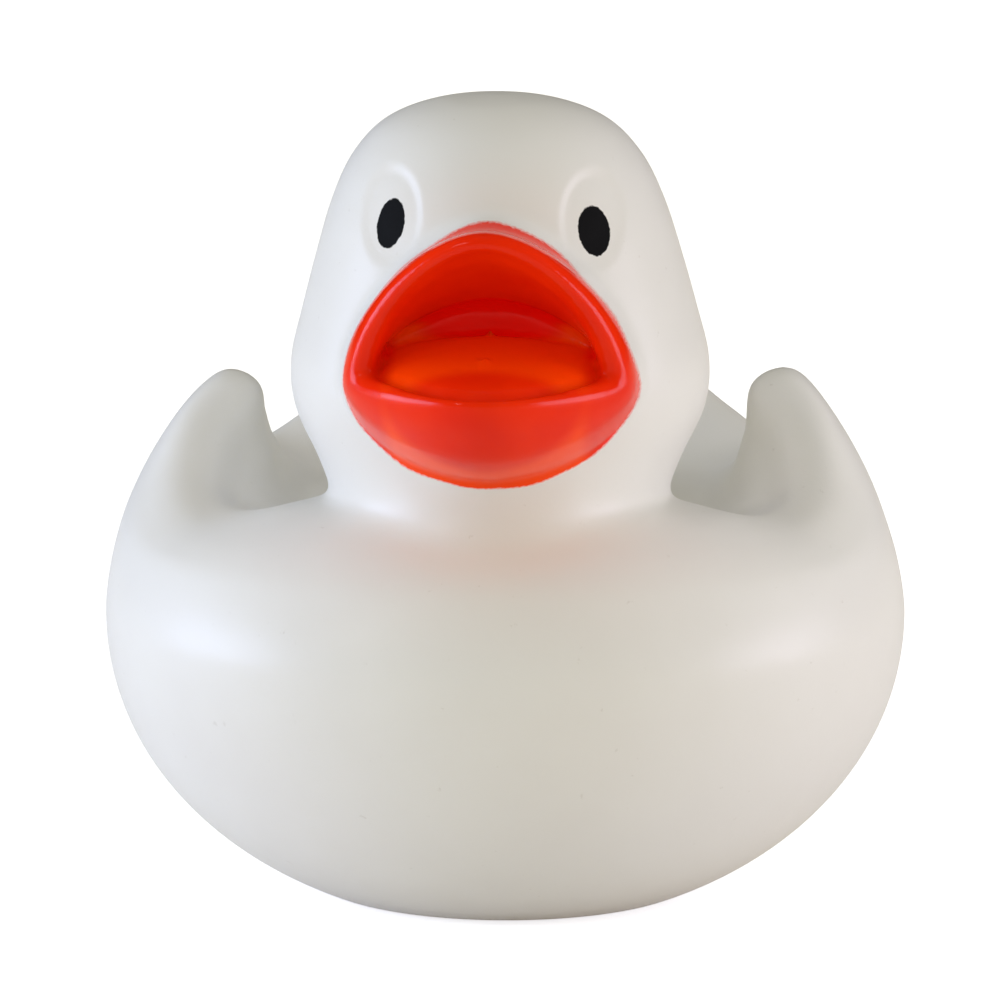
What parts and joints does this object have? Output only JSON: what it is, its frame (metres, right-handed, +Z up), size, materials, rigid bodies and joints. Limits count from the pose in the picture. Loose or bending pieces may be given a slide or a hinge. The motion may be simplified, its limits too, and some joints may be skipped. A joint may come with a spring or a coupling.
{
  "type": "rubber duck",
  "caption": "Hollow soft-vinyl bath duck with a wide-open painted bill, raised wing tips, an upturned tail and a squeaker in its flat base.",
  "frame": {"origin": "on the flat base's plane, under the middle of the duck's bounding box", "axes": "+Z up, the duck faces -Y, +X is the duck's left"},
  "size_m": [0.079, 0.0863, 0.0804],
  "materials": {
    "soft_vinyl": "satin white soft vinyl with a fine grain; the bill is sprayed gloss orange-red and the pupils are printed matte black",
    "hard_plastic": "satin",
    "reed_plastic": "smooth thin sheet"
  },
  "bodies": {
    "root": {"duck_body": "soft_vinyl", "squeaker_housing": "hard_plastic", "squeaker_seat": "hard_plastic", "squeaker_reed": "reed_plastic"}
  },
  "joints": []
}
